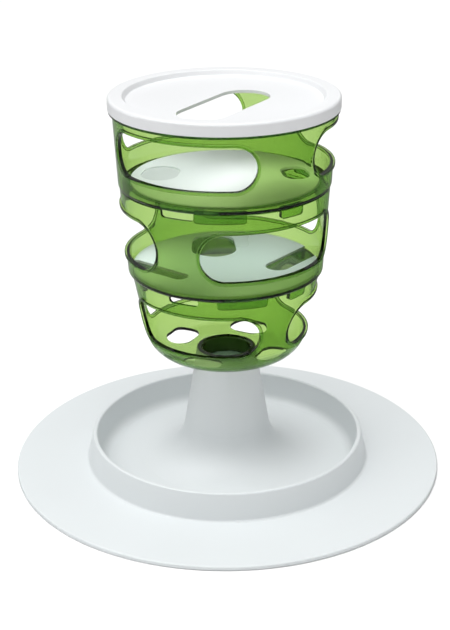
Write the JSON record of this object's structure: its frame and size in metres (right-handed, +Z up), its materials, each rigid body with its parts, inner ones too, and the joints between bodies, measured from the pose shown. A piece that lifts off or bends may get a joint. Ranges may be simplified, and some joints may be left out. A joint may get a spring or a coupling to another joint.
{
  "type": "cat food tree",
  "caption": "Tower feeder for cats: a wide catching tray with a column, see-through tiers with paw openings, turning discs with drop holes, and a lid with a filling slot.",
  "frame": {"origin": "on the floor, under the middle of the tray", "axes": "+Z up the tower; -Y towards the side that the picture shows; +X to its right"},
  "size_m": [0.3499, 0.35, 0.311],
  "materials": {
    "tray_plastic": "satin white moulding",
    "lid_plastic": "satin white moulding",
    "disc_plastic": "satin white moulding",
    "clear_green_plastic": "polished, see-through yellow-green",
    "foot_rubber": "matt grey"
  },
  "bodies": {
    "stand": {"base_tray": "tray_plastic", "non_slip_foot_1": "foot_rubber", "non_slip_foot_2": "foot_rubber", "non_slip_foot_3": "foot_rubber", "non_slip_foot_4": "foot_rubber", "non_slip_foot_5": "foot_rubber", "non_slip_foot_6": "foot_rubber"},
    "bowl": {"bowl_tier": "clear_green_plastic"},
    "middle": {"middle_tier": "clear_green_plastic"},
    "middle_turning_disc": {"middle_disc": "disc_plastic"},
    "top": {"top_tier": "clear_green_plastic"},
    "top_turning_disc": {"top_disc": "disc_plastic"},
    "cover": {"lid": "lid_plastic"}
  },
  "joints": [
    {"name": "tower_turn", "type": "hinge", "parent": "stand", "child": "bowl", "pos_m": [0, 0, 0.1], "axis": [0, 0, 1], "continuous": true},
    {"name": "middle_turn", "type": "hinge", "parent": "bowl", "child": "middle", "pos_m": [0, 0, 0.1705], "axis": [0, 0, 1], "continuous": true},
    {"name": "top_turn", "type": "hinge", "parent": "middle", "child": "top", "pos_m": [0, 0, 0.241], "axis": [0, 0, 1], "continuous": true},
    {"name": "middle_disc_turn", "type": "hinge", "parent": "middle", "child": "middle_turning_disc", "pos_m": [0, 0, 0.1729], "axis": [0, 0, 1], "continuous": true},
    {"name": "top_disc_turn", "type": "hinge", "parent": "top", "child": "top_turning_disc", "pos_m": [0, 0, 0.2434], "axis": [0, 0, 1], "continuous": true},
    {"name": "lid_lift", "type": "slide", "parent": "top", "child": "cover", "axis": [0, 0, 1], "range_m": [0, 0.06]}
  ]
}
